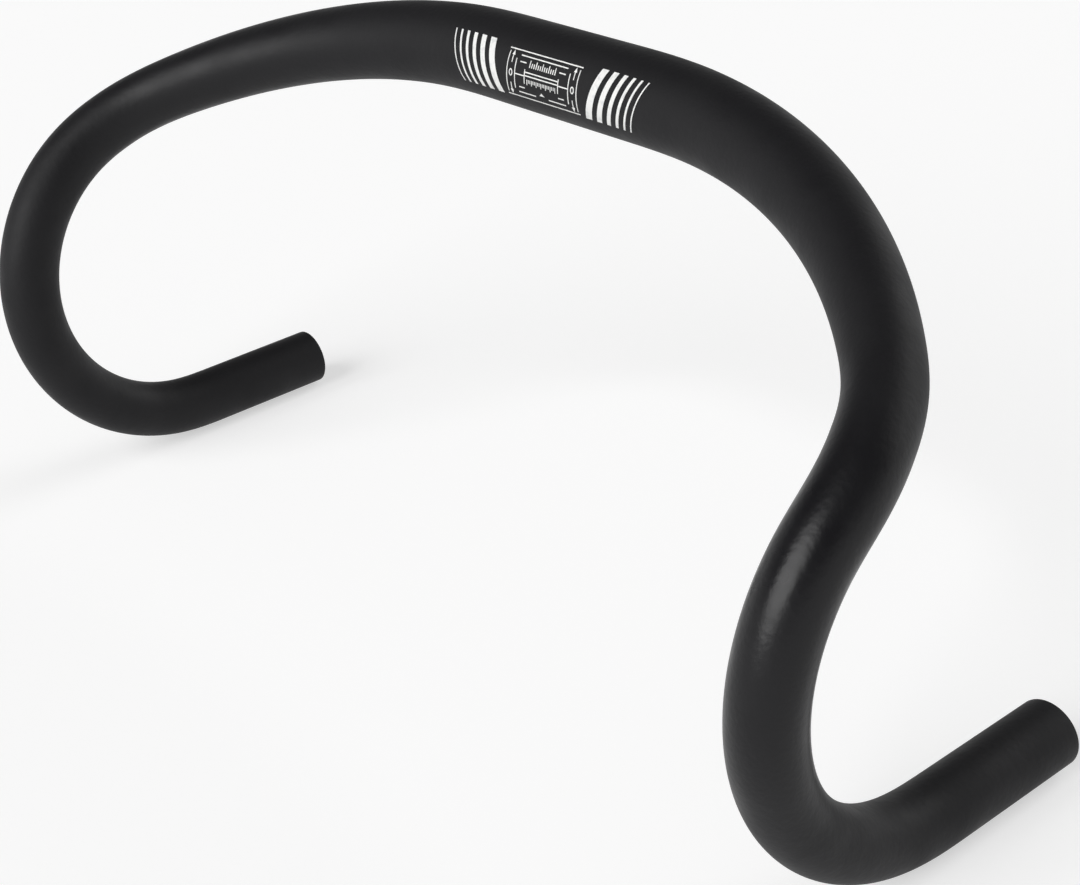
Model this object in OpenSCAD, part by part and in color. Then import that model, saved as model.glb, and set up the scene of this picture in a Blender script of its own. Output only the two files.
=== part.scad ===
// Track drop handlebar: one aluminium tube, butted, tapered and bent.
// Origin at the middle of the clamp zone. +X runs to the rider's right, +Y back to the rider
// and +Z up, with the grips level. Both halves are mirror images across the YZ plane.

/* [Clamp zone] */
// Outside diameter at the stem clamp
clamp_d = 31.7; // [31.6:0.05:32]
// Length of the straight, parallel clamp zone
clamp_w = 50; // [44:1:70]
// Wall thickness of the clamp zone
clamp_wall = 2.4; // [1.8:0.1:3]

/* [Overall] */
// Width over the outsides of the grips
bar_w = 440; // [400:5:480]
// Outside diameter of the drops and grips
grip_d = 23.8; // [23.4:0.1:24.4]
// Length of each straight grip behind its hook
grip_l = 50; // [30:1:110]

/* [Bends] */
// Angle of the long sweep on each side of the clamp zone
sweep_angle = 51.5; // [48:0.5:55]
// Tilt of the sweep's plane below straight ahead
sweep_dip = 28; // [22:0.5:33]
// Angle of the corner that turns each top down into its hook
corner_angle = 38.5; // [34:0.5:42]
// Centreline radius of the corner
corner_r = 30; // [24:1:40]
// Turn of the corner's plane about the tube, against the sweep's
corner_turn = -4; // [-10:0.5:5]
// Centreline radius of the hook
hook_r = 70; // [60:1:80]

/* [Flow between bends] */
// Length over which the clamp zone eases into the sweep
sweep_ease = 36; // [20:1:50]
// Length over which the corner eases into the bends beside it
corner_ease = 58; // [40:1:70]
// Length over which the hook eases into the grip
grip_ease = 22; // [10:1:40]

/* [Taper] */
// Length of parallel tube between the edge of the clamp zone and the rounded start of the taper
taper_gap = 1; // [1:1:30]
// Length of the taper
taper_run = 170; // [130:1:200]
// Length over which each end of the taper is rounded off
taper_ease = 36; // [10:1:50]

/* [Butting] */
// Wall thickness of the thin stretch between the clamp zone and the grips
thin_wall = 1.6; // [1.2:0.1:2.2]
// Wall thickness of the grips
grip_wall = 1.8; // [1.4:0.1:2.6]
// Distance along the tube from the edge of the clamp zone to where its wall starts to thin
butt_gap = 20; // [10:1:50]
// Length of each change of wall thickness
butt_run = 60; // [30:1:90]

/* [Ends] */
// Radius of the rounded outer edge at each open end
rim_r = 0.5; // [0.2:0.1:0.7]
// Chamfer of the inner edge at each open end
mouth_chamfer = 0.4; // [0.2:0.1:0.6]

/* [Smoothness] */
// Number of rings along the sweep
sweep_rings = 23; // [18:1:26]
// Number of rings along the corner and the hook
hook_rings = 34; // [26:1:36]
// Sides of each outer ring
outer_sides = 34; // [24:2:36]
// Sides of each inner ring
inner_sides = 16; // [14:2:20]

/* [Hidden] */
$fn = 96;

TUBE_COLOUR = "#2a2b2d";
// Depth to which each bent side is let into the wall of the straight tube it meets
tongue = 1;
// How far the bent side stands inside the wall's faces, where it is let in
tongue_inset = 0.2;
// How far the bent side's rings lie under the round surface of the straight tubes
ring_inset = 0.01;
// Half the length of the short chord that gives the centreline's direction
chord = 0.5;
// Number of samples that each easing averages
samples = 8;
clamp_r = clamp_d / 2;
grip_r = grip_d / 2;
BACK = [0, 1, 0];

function unit(v) = v / norm(v);
function total(list) = list * [for (item = list) 1];
function mean(points) = [for (axis = [0:2]) total([for (p = points) p[axis]])] / len(points);
function spun(v, axis, angle) =
    v * cos(angle) + cross(axis, v) * sin(angle) + axis * (axis * v) * (1 - cos(angle));

// A pose on the centreline is [point, direction of travel, direction in which it bends].
MIDDLE = [[0, 0, 0], [1, 0, 0], [0, -1, 0]];
function rolled(pose, angle) = [pose[0], pose[1], spun(pose[2], pose[1], angle)];
function bent(pose, radius, angle) = [
    pose[0] + pose[1] * radius * sin(angle) + pose[2] * radius * (1 - cos(angle)),
    pose[1] * cos(angle) + pose[2] * sin(angle),
    pose[2] * cos(angle) - pose[1] * sin(angle)
];
function straight(pose, run) = [pose[0] + pose[1] * run, pose[1], pose[2]];
function facing(pose, target) = [pose[0], pose[1], unit(target - pose[1] * (target * pose[1]))];
function angle_to(pose, target) = acos(pose[1] * target);
function arc(radius, angle) = radius * angle * PI / 180;

// The sweep's radius is what puts the grips at their width, because the corner and the hook
// take up the same width at any sweep radius.
clamp_run = clamp_w / 2 + sweep_ease / 2;
after_sweep = rolled(bent(rolled([[0, 0, 0], MIDDLE[1], MIDDLE[2]], sweep_dip), 0, sweep_angle),
    corner_turn);
after_corner = facing(bent(after_sweep, corner_r, corner_angle), BACK);
hook_angle = angle_to(after_corner, BACK);
after_hook = bent(after_corner, hook_r, hook_angle);
sweep_r = (bar_w / 2 - grip_r - clamp_run - after_hook[0][0]) / sin(sweep_angle);

// Poses where each stretch of the right half starts
sweep_pose = rolled(straight(MIDDLE, clamp_run), sweep_dip);
corner_pose = rolled(bent(sweep_pose, sweep_r, sweep_angle), corner_turn);
hook_pose = facing(bent(corner_pose, corner_r, corner_angle), BACK);
grip_pose = bent(hook_pose, hook_r, hook_angle);

// Distances along the tube from the middle to where each stretch starts
sweep_at = clamp_run;
corner_at = sweep_at + arc(sweep_r, sweep_angle);
hook_at = corner_at + arc(corner_r, corner_angle);
grip_at = hook_at + arc(hook_r, hook_angle);
end_at = grip_at + grip_ease / 2 + grip_l;
corner_mid_at = (corner_at + hook_at) / 2;
bent_from = clamp_w / 2;
bent_to = end_at - grip_l;
taper_from = bent_from + taper_gap + taper_ease / 2;
thin_from = bent_from + butt_gap;

// Point of the bend table's line at a distance s along it, and past either end
function on_arc(pose, radius, run) = bent(pose, radius, run / radius * 180 / PI)[0];
function on_line(s) =
    s < sweep_at ? straight(MIDDLE, s)[0]
    : s < corner_at ? on_arc(sweep_pose, sweep_r, s - sweep_at)
    : s < hook_at ? on_arc(corner_pose, corner_r, s - corner_at)
    : s < grip_at ? on_arc(hook_pose, hook_r, s - hook_at)
    : straight(grip_pose, s - grip_at)[0];

// Each bend flows into the next, as a tube drawn round formers does: the centreline is the
// bend table's line averaged over the length of easing at that place.
function window(s, length) = [for (k = [0:samples - 1]) s + length * ((k + 0.5) / samples - 0.5)];
function easing(s) =
    lookup(s, [[sweep_at, sweep_ease], [corner_mid_at, corner_ease], [grip_at, grip_ease]]);
function centre(s) = mean([for (u = window(s, easing(s))) on_line(u)]);
function heading(s) = unit(centre(s + chord) - centre(s - chord));

// Outer radius and wall thickness at a distance s along the tube
function outer_r(s) =
    total([for (u = window(s, taper_ease))
        lookup(u, [[taper_from, clamp_r], [taper_from + taper_run, grip_r]])])
    / samples;
function wall(s) = lookup(s, [
    [thin_from, clamp_wall], [thin_from + butt_run, thin_wall],
    [bent_to - butt_run, thin_wall], [bent_to, grip_wall]
]);

function spread(from, to, n) = [for (k = [0:n - 1]) from + (to - from) * k / n];
stations = concat(
    spread(bent_from, corner_at, sweep_rings), spread(corner_at, bent_to, hook_rings), [bent_to]
);

// A place is [point, direction, sideways direction], and each place's sideways direction is
// carried on from the one before it, so that the rings don't twist.
function places(side, k = 0) = k == len(stations) ? [] : let (
    forward = heading(stations[k]),
    across = unit(side - forward * (side * forward))
) concat([[centre(stations[k]), forward, across]], places(across, k + 1));

function ring(place, shift, radius, sides) = [
    for (k = [0:sides - 1]) let (angle = 360 * k / sides)
        place[0] + place[1] * shift
        + (place[2] * cos(angle) + cross(place[1], place[2]) * sin(angle)) * radius
];

// Inner rings keep the area of the round bore that they stand for.
bore_scale = sqrt(2 * PI / (inner_sides * sin(360 / inner_sides)));
function outer_ring(place, shift, radius) = ring(place, shift, radius - ring_inset, outer_sides);
function inner_ring(place, shift, radius) = ring(place, shift, radius * bore_scale, inner_sides);

// Triangles of a tube between rings of n points, that starts at point number first
function skin(first, rings, n, out) = [
    for (i = [0:rings - 2], k = [0:n - 1]) let (
        a = first + i * n + k,
        b = first + i * n + (k + 1) % n
    ) each out ? [[a, a + n, b], [b, a + n, b + n]] : [[a, b, a + n], [b, b + n, a + n]]
];

// Triangles of the flat face between an outer and an inner ring, which have different numbers
// of points: each edge of one ring closes on the nearest point of the other.
function near(k, n, m) = round((k + 0.5) * m / n) % m;
function lid(outer_at, n, inner_at, m, front) = concat(
    [for (k = [0:n - 1]) let (
        a = outer_at + k,
        b = outer_at + (k + 1) % n,
        c = inner_at + near(k, n, m)
    ) front ? [a, b, c] : [b, a, c]],
    [for (j = [0:m - 1]) let (
        a = inner_at + j,
        b = inner_at + (j + 1) % m,
        c = outer_at + [for (k = [0:n - 1])
            if (near(k, n, m) == j && near(k + 1, n, m) != j) (k + 1) % n][0]
    ) front ? [b, a, c] : [a, b, c]]
);

module straight_tube(radius, thickness, length) {
    difference() {
        cylinder(h = length, r = radius);
        translate([0, 0, -1]) cylinder(h = length + 2, r = radius - thickness);
    }
}

// Open end of a grip: a straight tube whose outer edge is rounded and inner edge chamfered
module grip_tube() {
    bore = grip_r - grip_wall;
    rotate_extrude() polygon(concat(
        [[bore, 0], [grip_r, 0]],
        [for (angle = [0:15:90])
            [grip_r - rim_r + rim_r * cos(angle), grip_l - rim_r + rim_r * sin(angle)]],
        [[bore + mouth_chamfer, grip_l], [bore, grip_l - mouth_chamfer]]
    ));
}

// Bent, tapered and butted side, whose two ends are let into the straight tubes
module bent_side() {
    path = places(MIDDLE[2]);
    last = len(stations) - 1;
    lengths = concat([bent_from], stations, [bent_to]);
    spots = concat([path[0]], path, [path[last]]);
    shifts = concat([-tongue], [for (s = stations) 0], [tongue]);
    insets = concat([tongue_inset], [for (s = stations) 0], [tongue_inset]);
    rings = len(lengths);
    outside = [for (i = [0:rings - 1])
        each outer_ring(spots[i], shifts[i], outer_r(lengths[i]) - insets[i])];
    inside = [for (i = [0:rings - 1])
        each inner_ring(spots[i], shifts[i], outer_r(lengths[i]) - wall(lengths[i]) + insets[i])];
    first = len(outside);
    polyhedron(
        concat(outside, inside),
        concat(
            skin(0, rings, outer_sides, true),
            skin(first, rings, inner_sides, false),
            lid(0, outer_sides, first, inner_sides, true),
            lid((rings - 1) * outer_sides, outer_sides,
                first + (rings - 1) * inner_sides, inner_sides, false)
        )
    );
}

module side() {
    bent_side();
    translate(centre(bent_to)) rotate([-90, 0, 0]) grip_tube();
}

module handlebar() {
    color(TUBE_COLOUR) union() {
        translate([-clamp_w / 2, 0, 0]) rotate([0, 90, 0])
            straight_tube(clamp_r, clamp_wall, clamp_w);
        side();
        mirror([1, 0, 0]) side();
    }
}

handlebar();
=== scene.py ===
"""Looks of a track drop handlebar: one bent tube in satin black paint, with white print.

The tube repeats the bend table of the CAD part, in metres, as one smooth closed skin with its
butted bore, rounded rims and chamfered mouths. The print is thin ink laid round the clamp zone.
"""

import bisect
import logging
import math
from dataclasses import dataclass, field
from enum import Enum

import bpy
from mathutils import Matrix, Vector

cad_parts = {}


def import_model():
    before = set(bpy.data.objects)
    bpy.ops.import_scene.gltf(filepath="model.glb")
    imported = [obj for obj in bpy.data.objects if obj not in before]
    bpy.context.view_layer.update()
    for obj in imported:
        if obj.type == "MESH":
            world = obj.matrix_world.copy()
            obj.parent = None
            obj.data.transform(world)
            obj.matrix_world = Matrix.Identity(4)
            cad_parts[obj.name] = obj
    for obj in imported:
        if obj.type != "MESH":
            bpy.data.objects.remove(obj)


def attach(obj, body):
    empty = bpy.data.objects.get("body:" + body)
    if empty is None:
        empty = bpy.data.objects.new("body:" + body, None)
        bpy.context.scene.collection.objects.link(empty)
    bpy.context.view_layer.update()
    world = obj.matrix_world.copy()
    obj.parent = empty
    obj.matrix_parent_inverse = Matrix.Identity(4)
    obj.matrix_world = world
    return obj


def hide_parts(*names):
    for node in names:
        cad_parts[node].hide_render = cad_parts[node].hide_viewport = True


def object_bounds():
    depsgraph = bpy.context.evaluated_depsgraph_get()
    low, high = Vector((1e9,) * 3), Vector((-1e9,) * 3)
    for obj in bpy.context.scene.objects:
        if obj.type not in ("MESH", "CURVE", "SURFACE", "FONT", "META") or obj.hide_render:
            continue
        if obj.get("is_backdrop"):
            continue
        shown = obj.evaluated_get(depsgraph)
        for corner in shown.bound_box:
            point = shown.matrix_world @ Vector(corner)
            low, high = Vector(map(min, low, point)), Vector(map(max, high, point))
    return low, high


LOG = logging.getLogger("handlebar")

MM = 0.001
BODY = "root"
NODE = "handlebar"
FORWARD_AXIS = Vector((1.0, 0.0, 0.0))
BACK_AXIS = Vector((0.0, 1.0, 0.0))
FRONT_AXIS = Vector((0.0, -1.0, 0.0))
# Sockets of the Mix node that hold its colours.
MIX_A, MIX_B, MIX_RESULT = 6, 7, 2
# Layers of noise in patterns of many pixels, and in patterns near the size of a pixel
BROAD_DETAIL, FINE_DETAIL = 3.0, 1.0
# Edges that turn by more than this are shaded as sharp.
SHARP_ANGLE = math.radians(28)

Point = tuple[float, float]


class Slot(Enum):
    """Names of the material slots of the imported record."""

    PAINT = "satin_black"
    INK = "white_print"


class Side(Enum):
    """Halves of the bar, by the sign of X."""

    RIGHT = 1
    LEFT = -1


def linear(code: str) -> tuple[float, float, float, float]:
    """Turn an sRGB hex colour to linear light.

    Args:
        code: Six hex digits after a hash sign.

    Returns:
        Red, green, blue and an alpha of one.
    """
    parts = [int(code[k:k + 2], 16) / 255 for k in (1, 3, 5)]
    red, green, blue = (
        c / 12.92 if c <= 0.04045 else ((c + 0.055) / 1.055) ** 2.4 for c in parts
    )
    return red, green, blue, 1.0


def per_size(size_mm: float) -> float:
    """Return the noise scale whose cells are about size_mm across, in object coordinates."""
    return 1.0 / (size_mm * MM)


def direction(azimuth: float, elevation: float) -> Vector:
    """Return the direction at an azimuth from the bar's front towards +X and an elevation."""
    level = math.cos(elevation)
    return Vector((math.sin(azimuth) * level, -math.cos(azimuth) * level, math.sin(elevation)))


def add_node(
    tree: bpy.types.NodeTree,
    kind: str,
    settings: dict[str, object] | None = None,
    inputs: dict[str | int, object] | None = None,
) -> bpy.types.Node:
    """Add a node, with its settings, values and links.

    Args:
        tree: Node tree that takes the node.
        kind: Blender's name of the node type.
        settings: Properties of the node, by name.
        inputs: Values or output sockets, by input name or index.

    Returns:
        The new node.
    """
    node = tree.nodes.new(kind)
    for name, value in (settings or {}).items():
        setattr(node, name, value)
    for name, value in (inputs or {}).items():
        if isinstance(value, bpy.types.NodeSocket):
            tree.links.new(value, node.inputs[name])
        else:
            node.inputs[name].default_value = value
    return node


def new_material(name: str) -> tuple[bpy.types.Material, bpy.types.NodeTree]:
    """Make a material whose node tree is empty.

    Args:
        name: Name of the material.

    Returns:
        The material and its node tree.
    """
    material = bpy.data.materials.new(name)
    material.use_nodes = True
    material.node_tree.nodes.clear()
    return material, material.node_tree


@dataclass(frozen=True)
class HandledPatch:
    """Patch of paint that handling has smoothed, fading out between two distances."""

    at_mm: tuple[float, float, float]
    reach_mm: tuple[float, float]
    smoothing: float


@dataclass(frozen=True)
class SatinBlackPaint:
    """Satin black baked paint, sprayed on an aluminium tube.

    The eye sees a near black with broad, soft highlights, a faint orange peel from the spray,
    patches where the paint flowed a little smoother, and a fuller shine on the front of the
    right hook and on the left top, where handling has smoothed the matt skin.
    """

    colour: str = "#131215"
    colour_thin: str = "#171719"
    roughness: float = 0.60
    roughness_spread: float = 0.07
    ior: float = 1.345
    # The front of the right hook, and the left top where it turns down
    handled: tuple[HandledPatch, ...] = (
        HandledPatch((204.0, -118.0, -75.0), (24.0, 88.0), 0.28),
        HandledPatch((-166.0, -46.0, -14.0), (30.0, 100.0), 0.13),
    )
    flow_mm: float = 22.0
    flow_breakup: float = 0.55
    # Values of the flow pattern between which the roughness runs through its spread
    flow_span: Point = (0.3, 0.7)
    # Orange peel of baked paint is 1 to 3 mm across. Its height and the grit's are drawn larger
    # than they are, so that they show at the photo's scale.
    peel_mm: float = 2.2
    peel_height_mm: float = 0.09
    # Grit of the matting agent is far finer than a pixel, so it is drawn 0.35 mm across.
    grit_mm: float = 0.35
    grit_height_mm: float = 0.02

    def build(self) -> bpy.types.Material:
        """Build the paint's material.

        Returns:
            The material.
        """
        material, tree = new_material("satin_black_baked_paint")
        place = add_node(tree, "ShaderNodeTexCoord").outputs["Object"]
        flow = add_node(tree, "ShaderNodeTexNoise", {}, {
            "Vector": place, "Scale": per_size(self.flow_mm), "Detail": BROAD_DETAIL,
            "Roughness": self.flow_breakup,
        })
        colour = add_node(tree, "ShaderNodeMix", {"data_type": "RGBA"}, {
            "Factor": flow.outputs["Fac"], MIX_A: linear(self.colour),
            MIX_B: linear(self.colour_thin),
        })
        paint = add_node(tree, "ShaderNodeBsdfPrincipled", {}, {
            "Base Color": colour.outputs[MIX_RESULT], "IOR": self.ior,
            "Roughness": self.shine(tree, place, flow.outputs["Fac"]),
            "Normal": self.skin(tree, place),
        })
        add_node(tree, "ShaderNodeOutputMaterial", {}, {"Surface": paint.outputs["BSDF"]})
        return material

    def shine(
        self, tree: bpy.types.NodeTree, place: bpy.types.NodeSocket, flow: bpy.types.NodeSocket
    ) -> bpy.types.NodeSocket:
        """Add the roughness, which falls where the paint flowed and where it is handled.

        Args:
            tree: The paint's node tree.
            place: Place on the bar.
            flow: Pattern of the paint's flow.

        Returns:
            The roughness.
        """
        low, high = self.flow_span
        rough = add_node(tree, "ShaderNodeMapRange", {}, {
            "Value": flow, "From Min": low, "From Max": high,
            "To Min": self.roughness - self.roughness_spread,
            "To Max": self.roughness + self.roughness_spread,
        }).outputs["Result"]
        for patch in self.handled:
            away = add_node(tree, "ShaderNodeVectorMath", {"operation": "DISTANCE"}, {
                0: place, 1: [v * MM for v in patch.at_mm],
            })
            near, far = patch.reach_mm
            smoothed = add_node(tree, "ShaderNodeMapRange", {
                "interpolation_type": "SMOOTHSTEP",
            }, {
                "Value": away.outputs["Value"], "From Min": near * MM, "From Max": far * MM,
                "To Min": patch.smoothing, "To Max": 0.0,
            })
            rough = add_node(tree, "ShaderNodeMath", {"operation": "SUBTRACT"}, {
                0: rough, 1: smoothed.outputs["Result"],
            }).outputs[0]
        return rough

    def skin(
        self, tree: bpy.types.NodeTree, place: bpy.types.NodeSocket
    ) -> bpy.types.NodeSocket:
        """Add the orange peel, with the grit of the matting agent on it.

        Args:
            tree: The paint's node tree.
            place: Place on the bar.

        Returns:
            The bumped normal.
        """
        normal = None
        for size_mm, height_mm in (
            (self.peel_mm, self.peel_height_mm), (self.grit_mm, self.grit_height_mm),
        ):
            noise = add_node(tree, "ShaderNodeTexNoise", {}, {
                "Vector": place, "Scale": per_size(size_mm), "Detail": FINE_DETAIL,
            })
            bump = add_node(tree, "ShaderNodeBump", {}, {
                "Strength": 1.0, "Distance": height_mm * MM, "Height": noise.outputs["Fac"],
            })
            if normal:
                tree.links.new(normal, bump.inputs["Normal"])
            normal = bump.outputs["Normal"]
        return normal


@dataclass(frozen=True)
class WhiteInk:
    """Matt white screen-printing ink.

    The eye sees flat, slightly warm white with crisp edges and a trace of mottle where the
    ink lies thinner over the black.
    """

    colour: str = "#f1f1ef"
    colour_thin: str = "#d9dadb"
    roughness: float = 0.75
    ior: float = 1.4
    mottle_mm: float = 2.2
    # Values of the mottle pattern at which the ink has its thin colour and its full colour
    mottle_span: Point = (0.25, 0.5)
    # Weave that the printing screen leaves is finer than a pixel, so it is drawn 0.3 mm across.
    weave_mm: float = 0.3
    weave_height_mm: float = 0.002

    def build(self) -> bpy.types.Material:
        """Build the ink's material.

        Returns:
            The material.
        """
        material, tree = new_material("white_screen_printing_ink")
        place = add_node(tree, "ShaderNodeTexCoord").outputs["Object"]
        mottle = add_node(tree, "ShaderNodeTexNoise", {}, {
            "Vector": place, "Scale": per_size(self.mottle_mm), "Detail": BROAD_DETAIL,
        })
        tint = add_node(tree, "ShaderNodeValToRGB", {}, {"Fac": mottle.outputs["Fac"]})
        colours = (self.colour_thin, self.colour)
        for stop, spot, code in zip(tint.color_ramp.elements, self.mottle_span, colours):
            stop.position = spot
            stop.color = linear(code)
        weave = add_node(tree, "ShaderNodeTexNoise", {}, {
            "Vector": place, "Scale": per_size(self.weave_mm), "Detail": FINE_DETAIL,
        })
        bump = add_node(tree, "ShaderNodeBump", {}, {
            "Strength": 1.0, "Distance": self.weave_height_mm * MM,
            "Height": weave.outputs["Fac"],
        })
        ink = add_node(tree, "ShaderNodeBsdfPrincipled", {}, {
            "Base Color": tint.outputs["Color"], "Roughness": self.roughness, "IOR": self.ior,
            "Normal": bump.outputs["Normal"],
        })
        add_node(tree, "ShaderNodeOutputMaterial", {}, {"Surface": ink.outputs["BSDF"]})
        return material


@dataclass(frozen=True)
class PaintedBoard:
    """Matt pale paint, rolled on a board.

    The eye sees an even, nearly white ground that takes soft shadows. The glow is seen by the
    camera, in reflections and through clear things, and lights nothing.
    """

    colour: str = "#cbcbcb"
    glow_colour: str = "#ffffff"
    glow: float = 0.53
    roughness: float = 0.9
    grain_mm: float = 3.0
    grain_detail: float = 2.0
    grain_height_mm: float = 0.01

    def build(self) -> bpy.types.Material:
        """Build the board's material.

        Returns:
            The material.
        """
        material, tree = new_material("matt_painted_board")
        rays = add_node(tree, "ShaderNodeLightPath")
        seen = rays.outputs["Is Camera Ray"]
        for kind in ("Is Glossy Ray", "Is Transmission Ray"):
            seen = add_node(tree, "ShaderNodeMath", {"operation": "MAXIMUM"}, {
                0: seen, 1: rays.outputs[kind],
            }).outputs[0]
        glow = add_node(tree, "ShaderNodeMath", {"operation": "MULTIPLY"}, {
            0: seen, 1: self.glow,
        })
        grain = add_node(tree, "ShaderNodeTexNoise", {}, {
            "Scale": per_size(self.grain_mm), "Detail": self.grain_detail,
        })
        bump = add_node(tree, "ShaderNodeBump", {}, {
            "Distance": self.grain_height_mm * MM, "Height": grain.outputs["Fac"],
        })
        board = add_node(tree, "ShaderNodeBsdfPrincipled", {}, {
            "Base Color": linear(self.colour), "Roughness": self.roughness,
            "Specular IOR Level": 0.0, "Emission Color": linear(self.glow_colour),
            "Emission Strength": glow.outputs[0], "Normal": bump.outputs["Normal"],
        })
        add_node(tree, "ShaderNodeOutputMaterial", {}, {"Surface": board.outputs["BSDF"]})
        return material


@dataclass(frozen=True)
class Pose:
    """A point on the tube's line, with its direction of travel and the way it bends."""

    point: Vector
    forward: Vector
    inward: Vector

    def rolled(self, angle: float) -> "Pose":
        """Return the pose whose bend is turned about the tube by an angle."""
        turn = Matrix.Rotation(angle, 3, self.forward)
        return Pose(self.point, self.forward, turn @ self.inward)

    def ahead(self, run: float) -> "Pose":
        """Return the pose a straight run further on."""
        return Pose(self.point + self.forward * run, self.forward, self.inward)

    def bent(self, radius: float, angle: float) -> "Pose":
        """Find the pose at the end of an arc.

        Args:
            radius: Radius of the arc.
            angle: Angle of the arc.

        Returns:
            The pose.
        """
        side, rise = math.sin(angle), 1 - math.cos(angle)
        return Pose(
            self.point + self.forward * (radius * side) + self.inward * (radius * rise),
            self.forward * (1 - rise) + self.inward * side,
            self.inward * (1 - rise) - self.forward * side,
        )

    def facing(self, target: Vector) -> "Pose":
        """Return the pose that bends towards a direction."""
        inward = target - self.forward * target.dot(self.forward)
        return Pose(self.point, self.forward, inward.normalized())


@dataclass(frozen=True)
class Stretch:
    """One line of the bend table: a straight run, or an arc where it has a radius."""

    start: float
    pose: Pose
    radius: float = 0.0

    def at(self, place: float) -> Vector:
        """Find a point of the stretch.

        Args:
            place: Distance along the tube.

        Returns:
            The point.
        """
        run = place - self.start
        if self.radius:
            return self.pose.bent(self.radius, run / self.radius).point
        return self.pose.ahead(run).point


@dataclass(frozen=True)
class Section:
    """Cross-section plane of the tube: its centre and the two directions across the tube."""

    centre: Vector
    front: Vector
    up: Vector

    def at(self, angle: float, radius: float) -> Vector:
        """Return the point at an angle from the front, positive upwards, and a radius."""
        return self.centre + (self.front * math.cos(angle) + self.up * math.sin(angle)) * radius


def ramp(place: float, table: list[Point]) -> float:
    """Read a value off a table of straight lines, flat past both ends.

    Args:
        place: Where to read.
        table: Pairs of place and value, in order.

    Returns:
        The value at the place.
    """
    if place <= table[0][0]:
        return table[0][1]
    for (a, low), (b, high) in zip(table, table[1:]):
        if place <= b:
            return low + (high - low) * (place - a) / (b - a)
    return table[-1][1]


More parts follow.
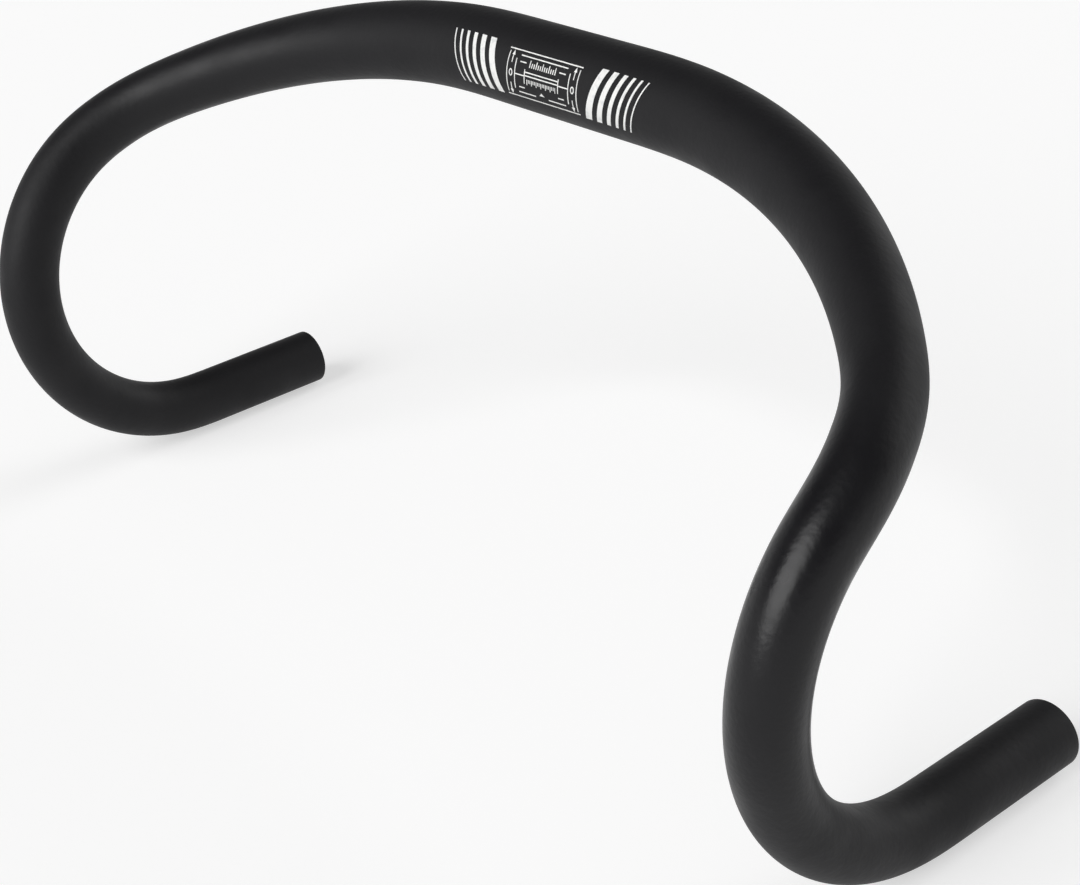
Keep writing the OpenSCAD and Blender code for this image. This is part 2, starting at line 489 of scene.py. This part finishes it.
@dataclass
class BendTable:
    """Line, outer radius and wall of the right half of the bar, from the middle outwards.

    The values are those of the CAD part. Each bend flows into the next: the line is the bend
    table's line averaged over a length of easing.
    """

    clamp_radius: float = 15.85 * MM
    clamp_width: float = 50 * MM
    clamp_wall: float = 2.4 * MM
    bar_width: float = 440 * MM
    grip_radius: float = 11.9 * MM
    grip_length: float = 50 * MM
    sweep_angle: float = math.radians(51.5)
    sweep_dip: float = math.radians(28)
    corner_angle: float = math.radians(38.5)
    corner_radius: float = 30 * MM
    corner_turn: float = math.radians(-4)
    hook_radius: float = 70 * MM
    sweep_ease: float = 36 * MM
    corner_ease: float = 58 * MM
    grip_ease: float = 22 * MM
    taper_gap: float = 19 * MM
    taper_run: float = 170 * MM
    taper_ease: float = 36 * MM
    thin_wall: float = 1.6 * MM
    grip_wall: float = 1.8 * MM
    butt_gap: float = 20 * MM
    butt_run: float = 60 * MM
    # How finely the line is read: points in an average, half a chord, steps of the section
    samples: int = 8
    chord: float = 0.5 * MM
    carry_step: float = 1 * MM
    stretches: list[Stretch] = field(init=False)
    easings: list[Point] = field(init=False)
    end: float = field(init=False)
    carried: list[Vector] = field(init=False)

    def __post_init__(self) -> None:
        """Work out the bend table and the sideways direction along it."""
        run = self.clamp_width / 2 + self.sweep_ease / 2
        middle = Pose(Vector(), FORWARD_AXIS, FRONT_AXIS)
        turned = middle.rolled(self.sweep_dip).bent(0, self.sweep_angle)
        turned = turned.rolled(self.corner_turn).bent(self.corner_radius, self.corner_angle)
        hook_angle = math.acos(turned.forward.dot(BACK_AXIS))
        inside = turned.facing(BACK_AXIS).bent(self.hook_radius, hook_angle).point.x
        sweep_radius = (
            self.bar_width / 2 - self.grip_radius - run - inside
        ) / math.sin(self.sweep_angle)
        sweep = middle.ahead(run).rolled(self.sweep_dip)
        corner = sweep.bent(sweep_radius, self.sweep_angle).rolled(self.corner_turn)
        hook = corner.bent(self.corner_radius, self.corner_angle).facing(BACK_AXIS)
        grip = hook.bent(self.hook_radius, hook_angle)
        corner_at = run + sweep_radius * self.sweep_angle
        hook_at = corner_at + self.corner_radius * self.corner_angle
        grip_at = hook_at + self.hook_radius * hook_angle
        self.stretches = [
            Stretch(0.0, middle), Stretch(run, sweep, sweep_radius),
            Stretch(corner_at, corner, self.corner_radius),
            Stretch(hook_at, hook, self.hook_radius), Stretch(grip_at, grip),
        ]
        self.easings = [
            (run, self.sweep_ease), ((corner_at + hook_at) / 2, self.corner_ease),
            (grip_at, self.grip_ease),
        ]
        self.end = grip_at + self.grip_ease / 2 + self.grip_length
        self.carried = [FRONT_AXIS]
        for k in range(1, math.ceil(self.end / self.carry_step) + 1):
            forward = self.heading(k * self.carry_step)
            across = self.carried[-1]
            self.carried.append((across - forward * across.dot(forward)).normalized())

    @property
    def bend_end(self) -> float:
        """Distance along the tube to where the straight grip starts."""
        return self.end - self.grip_length

    def line(self, place: float) -> Vector:
        """Return the bend table's point at a distance along the tube."""
        starts = [stretch.start for stretch in self.stretches]
        return self.stretches[max(0, bisect.bisect_right(starts, place) - 1)].at(place)

    def window(self, place: float, length: float) -> list[float]:
        """Return the places over which a value is averaged."""
        return [
            place + length * ((k + 0.5) / self.samples - 0.5) for k in range(self.samples)
        ]

    def centre(self, place: float) -> Vector:
        """Return the centreline's point at a distance along the tube."""
        spots = self.window(place, ramp(place, self.easings))
        return sum((self.line(spot) for spot in spots), Vector()) / self.samples

    def heading(self, place: float) -> Vector:
        """Return the centreline's direction at a distance along the tube."""
        return (self.centre(place + self.chord) - self.centre(place - self.chord)).normalized()

    def outer(self, place: float) -> float:
        """Work out the outer radius, which tapers from the clamp zone to the grips.

        Args:
            place: Distance along the tube.

        Returns:
            The radius.
        """
        start = self.clamp_width / 2 + self.taper_gap
        table = [(start, self.clamp_radius), (start + self.taper_run, self.grip_radius)]
        spots = self.window(place, self.taper_ease)
        return sum(ramp(spot, table) for spot in spots) / self.samples

    def wall(self, place: float) -> float:
        """Work out the wall's thickness, which is least between the clamp zone and the grips.

        Args:
            place: Distance along the tube.

        Returns:
            The thickness.
        """
        start = self.clamp_width / 2 + self.butt_gap
        return ramp(place, [
            (start, self.clamp_wall), (start + self.butt_run, self.thin_wall),
            (self.bend_end - self.butt_run, self.thin_wall), (self.bend_end, self.grip_wall),
        ])

    def section(self, place: float) -> Section:
        """Find the cross-section on the right half of the tube.

        Args:
            place: Distance along the tube.

        Returns:
            The section, whose sideways direction is carried along without twist.
        """
        forward = self.heading(place)
        step = min(int(place / self.carry_step), len(self.carried) - 1)
        across = self.carried[step]
        across = (across - forward * across.dot(forward)).normalized()
        return Section(self.centre(place), across, across.cross(forward))


def mesh_object(
    name: str, points: list[Vector], faces: list[tuple[int, ...]], material: bpy.types.Material
) -> bpy.types.Object:
    """Make a smooth-shaded mesh object and put it in the scene.

    Args:
        name: Name of the object and its mesh.
        points: Corner points, in metres.
        faces: Corner numbers of each face, anticlockwise from outside.
        material: Material of all its faces.

    Returns:
        The object.
    """
    mesh = bpy.data.meshes.new(name)
    mesh.from_pydata([tuple(p) for p in points], [], faces)
    mesh.materials.append(material)
    mesh.polygons.foreach_set("use_smooth", [True] * len(mesh.polygons))
    mesh.set_sharp_from_angle(angle=SHARP_ANGLE)
    mesh.update()
    thing = bpy.data.objects.new(name, mesh)
    bpy.context.scene.collection.objects.link(thing)
    return thing


@dataclass
class Tube:
    """The whole bent tube as one closed skin, from mouth to mouth and back through its bore."""

    table: BendTable
    sides: int = 112
    outer_step: float = 2 * MM
    inner_step: float = 6 * MM
    rim_radius: float = 0.5 * MM
    rim_parts: int = 6
    mouth_chamfer: float = 0.4 * MM

    def places(self, step: float, inset: float) -> list[float]:
        """Spread places evenly along each straight and each bend of the whole tube.

        Args:
            step: Greatest distance between two places.
            inset: Distance from each mouth to the first and the last place.

        Returns:
            The places, with those on the left half below zero.
        """
        last = self.table.end - inset
        marks = [self.table.clamp_width / 2, self.table.bend_end]
        half = [0.0]
        for start, stop in zip([0.0] + marks, marks + [last]):
            count = math.ceil((stop - start) / step)
            half += [start + (stop - start) * (k + 1) / count for k in range(count)]
        return [-place for place in reversed(half[1:])] + half

    def rings(self) -> list[Point]:
        """Lay out the rings once round the skin: outside, mouth, bore and the other mouth.

        Returns:
            The signed place and the radius of each ring.
        """
        table = self.table
        bore = table.grip_radius - table.grip_wall
        outside = [(s, table.outer(abs(s))) for s in self.places(self.outer_step, self.rim_radius)]
        mouth = []
        for k in range(1, self.rim_parts + 1):
            angle = math.pi / 2 * k / self.rim_parts
            mouth.append((
                table.end - self.rim_radius * (1 - math.sin(angle)),
                table.grip_radius - self.rim_radius * (1 - math.cos(angle)),
            ))
        mouth.append((table.end, bore + self.mouth_chamfer))
        inside = [
            (s, table.outer(abs(s)) - table.wall(abs(s)))
            for s in self.places(self.inner_step, self.mouth_chamfer)
        ]
        other_mouth = [(-s, r) for s, r in reversed(mouth)]
        return outside + mouth + inside[::-1] + other_mouth

    def build(self, material: bpy.types.Material) -> bpy.types.Object:
        """Build the tube.

        Args:
            material: The paint.

        Returns:
            The tube's object, which rides on the bar's body in place of its CAD node.
        """
        rings = self.rings()
        sections = {s: self.table.section(s) for s in {abs(place) for place, _ in rings}}
        points: list[Vector] = []
        for place, radius in rings:
            section = sections[abs(place)]
            side = 1 if place >= 0 else -1
            for k in range(self.sides):
                spot = section.at(2 * math.pi * k / self.sides, radius)
                points.append(Vector((spot.x * side, spot.y, spot.z)))
        faces = []
        for i in range(len(rings)):
            here, there = i * self.sides, (i + 1) % len(rings) * self.sides
            for k in range(self.sides):
                n = (k + 1) % self.sides
                faces.append((here + k, here + n, there + n, there + k))
        tube = mesh_object("painted_tube", points, faces, material)
        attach(tube, BODY)
        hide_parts(NODE)
        return tube


@dataclass
class Print:
    """Ink laid round the clamp zone, drawn flat: x along the bar and y up round its front."""

    table: BendTable
    lift: float = 0.03 * MM
    sink: float = 0.06 * MM
    # Greatest side of a face before it is wrapped, in millimetres
    grain: float = 0.8
    points: list[Vector] = field(default_factory=list)
    faces: list[tuple[int, ...]] = field(default_factory=list)

    def wrapped(self, spot: Point, lift: float) -> Vector:
        """Wrap a flat point round the tube.

        Args:
            spot: The flat point, in millimetres.
            lift: Height over the paint.

        Returns:
            The point.
        """
        x, y = spot
        place = abs(x) * MM
        angle = y * MM / self.table.clamp_radius
        point = self.table.section(place).at(angle, self.table.outer(place) + lift)
        return Vector((point.x * (1 if x >= 0 else -1), point.y, point.z))

    def patch(self, left: list[Point], right: list[Point], closed: bool = False) -> None:
        """Lay ink between two lines of points that have equal numbers of points.

        Args:
            left: Points of one edge, in millimetres.
            right: Points of the other edge, in the same order.
            closed: Whether the last pair joins the first, as in a ring.
        """
        left, right = self.finer(left, right, closed)
        widest = max(math.dist(a, b) for a, b in zip(left, right))
        across = max(1, math.ceil(widest / self.grain))
        rows = [
            [
                (a[0] + (b[0] - a[0]) * j / across, a[1] + (b[1] - a[1]) * j / across)
                for j in range(across + 1)
            ]
            for a, b in zip(left, right)
        ]
        first = len(self.points)
        width = across + 1
        for lift in (self.lift, -self.sink):
            self.points += [self.wrapped(spot, lift) for row in rows for spot in row]
        count = len(rows)
        under = first + count * width
        rounds = count if closed else count - 1
        for i in range(rounds):
            here, there = i * width, (i + 1) % count * width
            for j in range(across):
                a, b, c, d = here + j, here + j + 1, there + j + 1, there + j
                self.faces.append((first + a, first + b, first + c, first + d))
                self.faces.append((under + d, under + c, under + b, under + a))
            for j, turn in ((0, 1), (across, -1)):
                wall = (first + here + j, first + there + j, under + there + j, under + here + j)
                self.faces.append(wall[::turn])
        if not closed:
            for i, turn in ((0, -1), (count - 1, 1)):
                for j in range(across):
                    a = i * width + j
                    wall = (first + a, first + a + 1, under + a + 1, under + a)
                    self.faces.append(wall[::turn])

    def finer(
        self, left: list[Point], right: list[Point], closed: bool
    ) -> tuple[list[Point], list[Point]]:
        """Split the stretches of two edges that are longer than the grain.

        Args:
            left: Points of one edge.
            right: Points of the other edge, in the same order.
            closed: Whether the last pair joins the first.

        Returns:
            The points of both edges, with the new ones between them.
        """
        pairs = list(zip(left, right))
        follow = pairs[1:] + pairs[:1] if closed else pairs[1:]
        split = []
        for (a, b), (c, d) in zip(pairs, follow):
            parts = max(1, math.ceil(max(math.dist(a, c), math.dist(b, d)) / self.grain))
            for k in range(parts):
                t = k / parts
                split.append((
                    (a[0] + (c[0] - a[0]) * t, a[1] + (c[1] - a[1]) * t),
                    (b[0] + (d[0] - b[0]) * t, b[1] + (d[1] - b[1]) * t),
                ))
        if not closed:
            split.append(pairs[-1])
        return [a for a, _ in split], [b for _, b in split]

    def rule(self, start: Point, end: Point, width: float) -> None:
        """Lay a straight line.

        Args:
            start: Where it starts, in millimetres.
            end: Where it ends.
            width: Its width.
        """
        length = math.dist(start, end)
        dx = -(end[1] - start[1]) / length * width / 2
        dy = (end[0] - start[0]) / length * width / 2
        self.patch(
            [(start[0] + dx, start[1] + dy), (end[0] + dx, end[1] + dy)],
            [(start[0] - dx, start[1] - dy), (end[0] - dx, end[1] - dy)],
        )

    def build(self, name: str, material: bpy.types.Material) -> bpy.types.Object:
        """Make the ink's object, which rides on the bar's body.

        Args:
            name: Name of the piece.
            material: The ink.

        Returns:
            The object.
        """
        ink = mesh_object(name, self.points, self.faces, material)
        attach(ink, BODY)
        return ink


@dataclass(frozen=True)
class TickScale:
    """Row of fine ticks along the bar, in millimetres, with every third one long.

    The lengths are below zero where the ticks hang from their line.
    """

    count_each_side: int
    pitch: float
    height: float
    short: float
    long: float
    width: float
    long_every: int = 3

    def lay(self, ink: Print, middle: float) -> None:
        """Lay the ticks.

        Args:
            ink: Print that takes them.
            middle: Height of the frame's middle, from which the ticks' height is counted.
        """
        foot = middle + self.height
        for k in range(-self.count_each_side, self.count_each_side + 1):
            length = self.short if k % self.long_every else self.long
            ink.rule((k * self.pitch, foot), (k * self.pitch, foot + length), self.width)


@dataclass
class CentringScale:
    """Framed scale that shows where the stem clamp goes and how far the bar is turned.

    Sizes are in millimetres. Heights inside the frame are counted from its middle.
    """

    table: BendTable
    middle: float = 2.45
    line: float = 0.42
    # Frame: long rules over and under, which pass the outer uprights a little
    half_width: float = 18.25
    half_height: float = 8.3
    overhang: float = 0.7
    corner_gap: float = 1.0
    inner_x: float = 14.0
    inner_height: float = 5.3
    # Figure 0 between the uprights, with an arrow over and under it
    mark_x: float = 16.15
    zero_sides: int = 20
    zero_outside: Point = (0.95, 1.3)
    zero_inside: Point = (0.5, 0.85)
    arrow_tail: float = 3.5
    arrow_neck: float = 6.1
    arrow_tip: float = 7.8
    arrow_half_width: float = 0.8
    arrow_blunt: float = 0.02
    # Fillings: rules right across, as height and half length
    top_rule: Point = (6.7, 12.2)
    long_rules: tuple[Point, ...] = ((1.4, 8.5), (0.2, 8.5))
    # Dashes on each side, as height, start and stop
    dashes: tuple[tuple[float, float, float], ...] = (
        (4.5, 8.6, 11.9), (-4.3, 8.8, 11.8), (-6.3, 3.4, 12.4),
    )
    middle_dash_start: float = 9.0
    post_x: float = 8.8
    post_ends: Point = (-2.7, 2.3)
    ticks: tuple[TickScale, ...] = (
        TickScale(6, 1.1, 3.2, 1.6, 2.5, 0.45), TickScale(9, 0.82, -1.0, -1.2, -1.9, 0.36),
    )
    # Small triangle at the bottom, as its left slope and its base
    triangle: tuple[tuple[Point, Point], ...] = (
        ((-1.3, -5.6), (-0.02, -4.5)), ((-1.3, -5.62), (1.3, -5.6)),
    )

    def build(self, material: bpy.types.Material) -> bpy.types.Object:
        """Build the scale.

        Args:
            material: The ink.

        Returns:
            The scale's object.
        """
        ink = Print(self.table)
        for sign in (1, -1):
            self.across(ink, sign * self.half_height, self.half_width + self.overhang)
            self.side_marks(ink, sign)
            for up in (1, -1):
                self.arrow(ink, sign * self.mark_x, up)
        self.fillings(ink)
        return ink.build("clamp_scale_print", material)

    def across(self, ink: Print, height: float, reach: float) -> None:
        """Lay a rule right across at a height, which reaches as far to both sides."""
        ink.rule((-reach, self.middle + height), (reach, self.middle + height), self.line)

    def upright(self, ink: Print, x: float, low: float, high: float) -> None:
        """Lay an upright line at x between two heights."""
        ink.rule((x, self.middle + low), (x, self.middle + high), self.line)

    def side_marks(self, ink: Print, sign: int) -> None:
        """Lay the outer and inner upright and the zero between them.

        Args:
            ink: Print that takes them.
            sign: Side of the bar, by the sign of X.
        """
        reach = self.half_height - self.corner_gap
        self.upright(ink, sign * self.half_width, -reach, reach)
        self.upright(ink, sign * self.inner_x, -self.inner_height, self.inner_height)
        centre_x = sign * self.mark_x
        ink.patch(
            self.oval(centre_x, self.zero_outside), self.oval(centre_x, self.zero_inside),
            closed=True,
        )

    def oval(self, x: float, half_sizes: Point) -> list[Point]:
        """Draw an oval round the middle.

        Args:
            x: Place of its centre along the bar.
            half_sizes: Half its width and half its height.

        Returns:
            The points round it.
        """
        half_x, half_y = half_sizes
        angles = [2 * math.pi * k / self.zero_sides for k in range(self.zero_sides)]
        return [
            (x + half_x * math.cos(angle), self.middle + half_y * math.sin(angle))
            for angle in angles
        ]

    def arrow(self, ink: Print, x: float, up: int) -> None:
        """Lay an arrow that points away from the zero.

        Args:
            ink: Print that takes it.
            x: Place along the bar.
            up: 1 for an arrow that points up, -1 for down.
        """
        neck = self.middle + up * self.arrow_neck
        tip = self.middle + up * self.arrow_tip
        wide, blunt = self.arrow_half_width, self.arrow_blunt
        self.upright(ink, x, up * self.arrow_tail, up * self.arrow_neck)
        ink.patch([(x - wide, neck), (x - blunt, tip)], [(x + wide, neck), (x + blunt, tip)])

    def fillings(self, ink: Print) -> None:
        """Lay the rules, dashes and fine scales inside the frame.

        Args:
            ink: Print that takes them.
        """
        self.across(ink, *self.top_rule)
        for sign in (1, -1):
            dashes = self.dashes + (
                (0.0, self.middle_dash_start, self.inner_x - self.line / 2),
            )
            for height, start, stop in dashes:
                level = self.middle + height
                ink.rule((sign * start, level), (sign * stop, level), self.line)
            self.upright(ink, sign * self.post_x, *self.post_ends)
        for height, reach in self.long_rules:
            self.across(ink, height, reach)
        for scale in self.ticks:
            scale.lay(ink, self.middle)
        slope, base = ([(x, self.middle + y) for x, y in edge] for edge in self.triangle)
        ink.patch(slope, base)


@dataclass
class SlantedBars:
    """Row of slanted bars beside the clamp zone, each thinner than the one before it.

    Sizes are in millimetres, and low and high are heights up round the tube's front.
    """

    table: BendTable
    side: Side
    start: float = 21.5
    widths: tuple[float, ...] = (3.1, 2.5, 1.9, 1.4, 1.0, 0.6)
    gap: float = 2.5
    low: float = -6.6
    high: float = 12.4
    lean: float = math.radians(18)

    def build(self, material: bpy.types.Material) -> bpy.types.Object:
        """Build the bars.

        Args:
            material: The ink.

        Returns:
            The bars' object.
        """
        ink = Print(self.table)
        sign = self.side.value
        shift = (self.high - self.low) * math.tan(self.lean)
        x = self.start
        for width in self.widths:
            ink.patch(
                [(sign * x, self.low), (sign * (x + shift), self.high)],
                [(sign * (x + width), self.low), (sign * (x + shift + width), self.high)],
            )
            x += width + self.gap
        return ink.build(f"{self.side.name.lower()}_bars_print", material)


@dataclass(frozen=True)
class SoftLamp:
    """Broad lamp, far enough off to light the whole floor evenly.

    Angles are in degrees, with the azimuth from the bar's front towards +X and the breadth as
    seen from the bar. Strength is the light that falls on a surface facing the lamp, in watts a
    square metre.
    """

    name: str
    azimuth: float
    elevation: float
    breadth: float
    strength: float

    def build(self) -> None:
        """Build the lamp."""
        lamp = bpy.data.lights.new(self.name, "SUN")
        lamp.angle = math.radians(self.breadth)
        lamp.energy = self.strength
        towards = direction(math.radians(self.azimuth), math.radians(self.elevation))
        thing = bpy.data.objects.new(self.name, lamp)
        thing.rotation_euler = towards.to_track_quat("Z", "Y").to_euler()
        bpy.context.scene.collection.objects.link(thing)


@dataclass(frozen=True)
class Studio:
    """Pale floor, surroundings that are pale low down and grey above, and two broad soft lamps."""

    floor_height: float
    floor_reach: float = 14.0
    floor_thickness: float = 0.01
    board: PaintedBoard = PaintedBoard()
    world_colour: str = "#ffffff"
    world_low: float = 0.95
    world_high: float = 0.09
    # Sine of the elevation at which the surroundings reach their grey
    world_turn: float = 0.50
    # The key lamp is broad, in front of the bar and above it. A smaller one behind the bar lifts
    # the backs of the drops.
    lamps: tuple[SoftLamp, ...] = (
        SoftLamp("front_soft_lamp", -2, 33, 47, 2.43),
        SoftLamp("rear_soft_lamp", 165, 28, 42, 0.86),
    )

    def build(self) -> None:
        """Build the floor, the surroundings and the lamps."""
        self.build_floor()
        self.build_world()
        for lamp in self.lamps:
            lamp.build()

    def build_floor(self) -> None:
        """Build the floor as a thin slab."""
        reach, top = self.floor_reach, self.floor_height
        low = top - self.floor_thickness
        corners = [(-reach, -reach), (reach, -reach), (reach, reach), (-reach, reach)]
        points = [Vector((x, y, z)) for z in (low, top) for x, y in corners]
        faces = [(3, 2, 1, 0), (4, 5, 6, 7)] + [
            (k, (k + 1) % 4, 4 + (k + 1) % 4, 4 + k) for k in range(4)
        ]
        mesh_object("floor", points, faces, self.board.build())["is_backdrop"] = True

    def build_world(self) -> None:
        """Build the surroundings."""
        world = bpy.data.worlds.new("studio")
        world.use_nodes = True
        world.node_tree.nodes.clear()
        place = add_node(world.node_tree, "ShaderNodeTexCoord").outputs["Generated"]
        split = add_node(world.node_tree, "ShaderNodeSeparateXYZ", {}, {0: place})
        fade = add_node(world.node_tree, "ShaderNodeMapRange", {}, {
            "Value": split.outputs["Z"], "From Min": 0.0, "From Max": self.world_turn,
            "To Min": self.world_low, "To Max": self.world_high,
        })
        sky = add_node(world.node_tree, "ShaderNodeBackground", {}, {
            "Color": linear(self.world_colour), "Strength": fade.outputs["Result"],
        })
        add_node(world.node_tree, "ShaderNodeOutputWorld", {}, {
            "Surface": sky.outputs["Background"],
        })
        bpy.context.scene.world = world


@dataclass(frozen=True)
class PhotoCamera:
    """Camera at the photograph's viewpoint, with its place in metres and its angles in degrees."""

    place: tuple[float, float, float] = (0.51217, -0.43835, 0.21629)
    azimuth: float = 51.741
    elevation: float = 29.766
    roll: float = -4.307
    lens: float = 66.367
    sensor_width: float = 36.0
    clip: Point = (0.01, 60.0)
    shift: Point = (0.00987, 0.05606)

    def build(self) -> None:
        """Build the camera and make it the scene's."""
        azimuth, elevation, roll = (
            math.radians(angle) for angle in (self.azimuth, self.elevation, self.roll)
        )
        back = direction(azimuth, elevation)
        right = Vector((math.cos(azimuth), math.sin(azimuth), 0.0))
        up = back.cross(right)
        right, up = (
            right * math.cos(roll) + up * math.sin(roll),
            up * math.cos(roll) - right * math.sin(roll),
        )
        data = bpy.data.cameras.new("photo_camera")
        data.sensor_width = self.sensor_width
        data.sensor_fit = "HORIZONTAL"
        data.lens = self.lens
        data.shift_x, data.shift_y = self.shift
        data.clip_start, data.clip_end = self.clip
        camera = bpy.data.objects.new("photo_camera", data)
        turn = Matrix((right, up, back)).transposed().to_4x4()
        camera.matrix_world = Matrix.Translation(Vector(self.place)) @ turn
        bpy.context.scene.collection.objects.link(camera)
        bpy.context.scene.camera = camera


def main() -> None:
    """Build the bar, its print, the studio and the camera."""
    logging.basicConfig(level=logging.INFO, format="%(name)s: %(message)s")
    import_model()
    cad_low, cad_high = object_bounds()
    bpy.context.scene.view_settings.view_transform = "Standard"
    table = BendTable()
    paint, ink = SatinBlackPaint().build(), WhiteInk().build()
    pieces = [
        Tube(table).build(paint),
        CentringScale(table).build(ink),
        SlantedBars(table, Side.RIGHT).build(ink),
        SlantedBars(table, Side.LEFT).build(ink),
    ]
    for piece in pieces:
        LOG.info("%s: %d faces", piece.name, len(piece.data.polygons))
    Studio(floor_height=cad_low.z).build()
    PhotoCamera().build()


if __name__ == "__main__":
    main()
